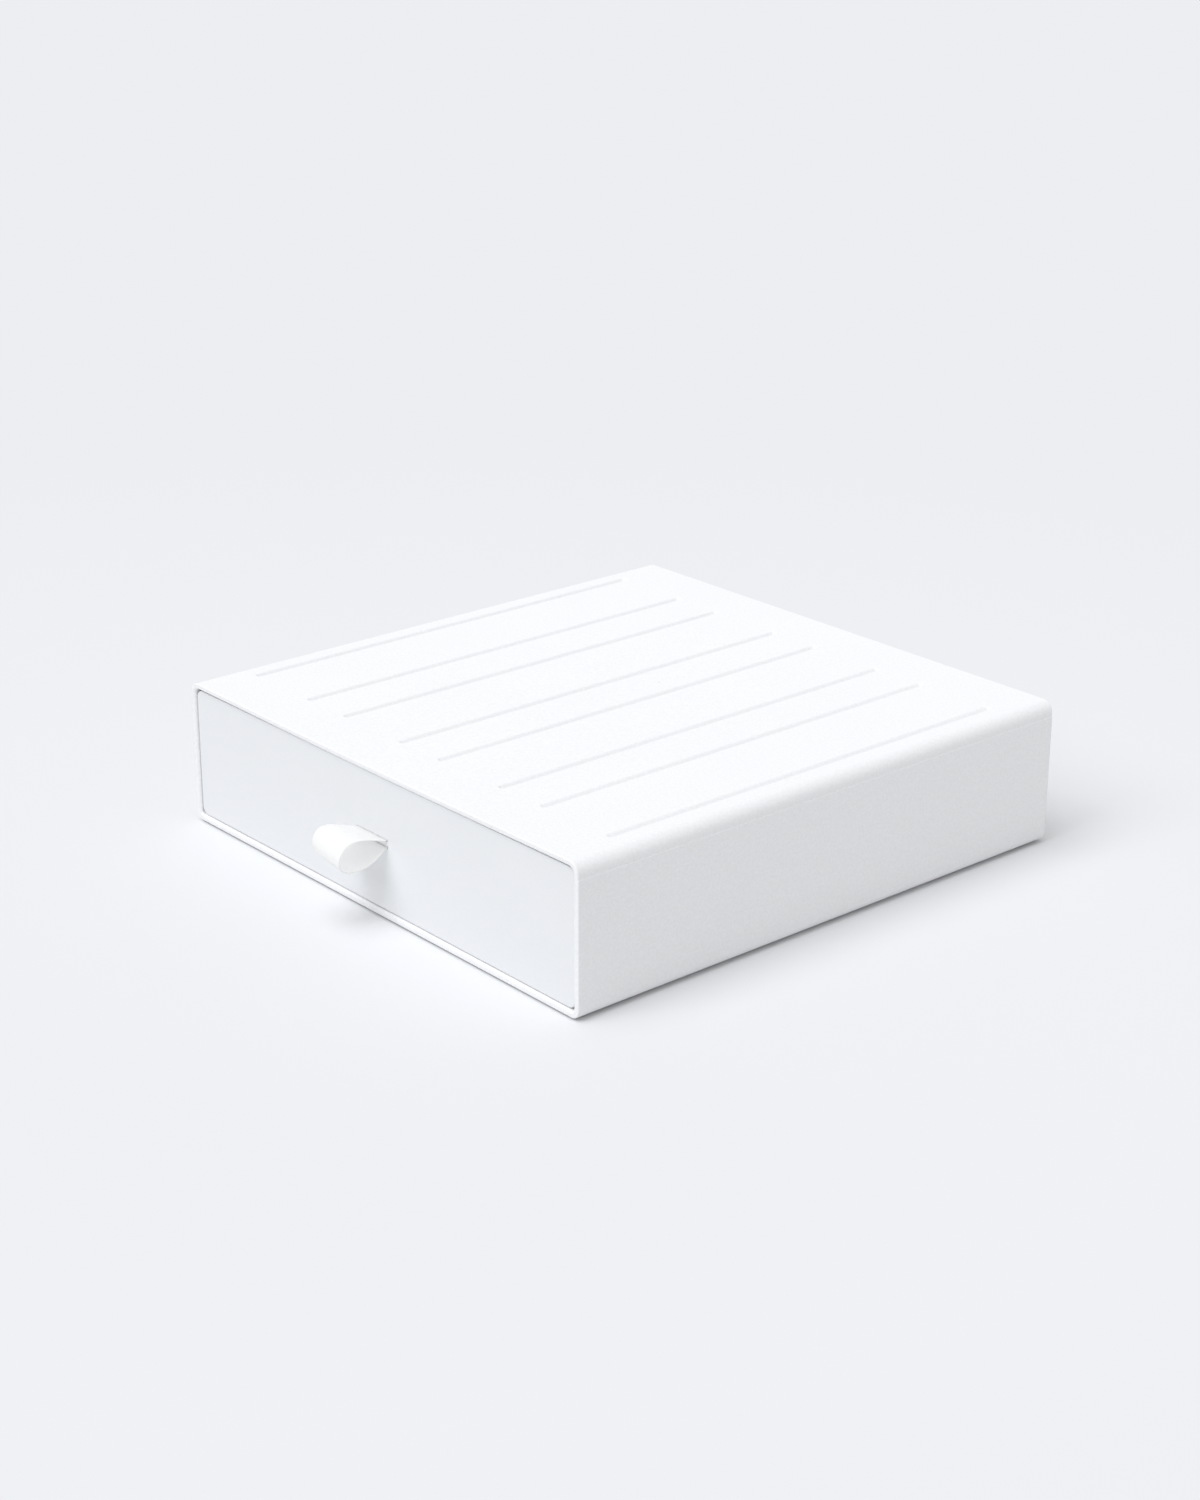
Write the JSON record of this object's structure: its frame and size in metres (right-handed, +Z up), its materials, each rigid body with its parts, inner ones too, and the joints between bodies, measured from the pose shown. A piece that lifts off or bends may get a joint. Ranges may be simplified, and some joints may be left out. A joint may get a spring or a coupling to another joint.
{
  "type": "stackable drawer box",
  "caption": "Flat square box with a shallow pull-out drawer behind a recessed front panel, a folded ribbon pull tab, and stacking grooves across the top with matching ribs underneath.",
  "frame": {"origin": "middle of the box's footprint, with the ribbon's overhang counted, on the surface that the stacking ribs stand on", "axes": "+X to the right of a person who faces the drawer front, +Y from the front to the back, +Z up; the drawer opens along -Y"},
  "size_m": [0.26, 0.2872, 0.065],
  "materials": {
    "case_plastic": "fine satin moulded white",
    "back_plastic": "fine satin moulded white",
    "tray_plastic": "fine satin moulded white",
    "front_plastic": "matt moulded white, a touch greyer than the case",
    "anchor_plastic": "matt moulded white",
    "ribbon_weave": "plain white woven ribbon"
  },
  "bodies": {
    "case": {"case_sleeve": "case_plastic", "back_panel": "back_plastic"},
    "drawer": {"drawer_tray": "tray_plastic", "drawer_front": "front_plastic", "ribbon_anchor": "anchor_plastic", "pull_ribbon": "ribbon_weave"}
  },
  "joints": [
    {"name": "drawer_slide", "type": "slide", "parent": "case", "child": "drawer", "axis": [0, -1, 0], "range_m": [0, 0.2164]}
  ]
}
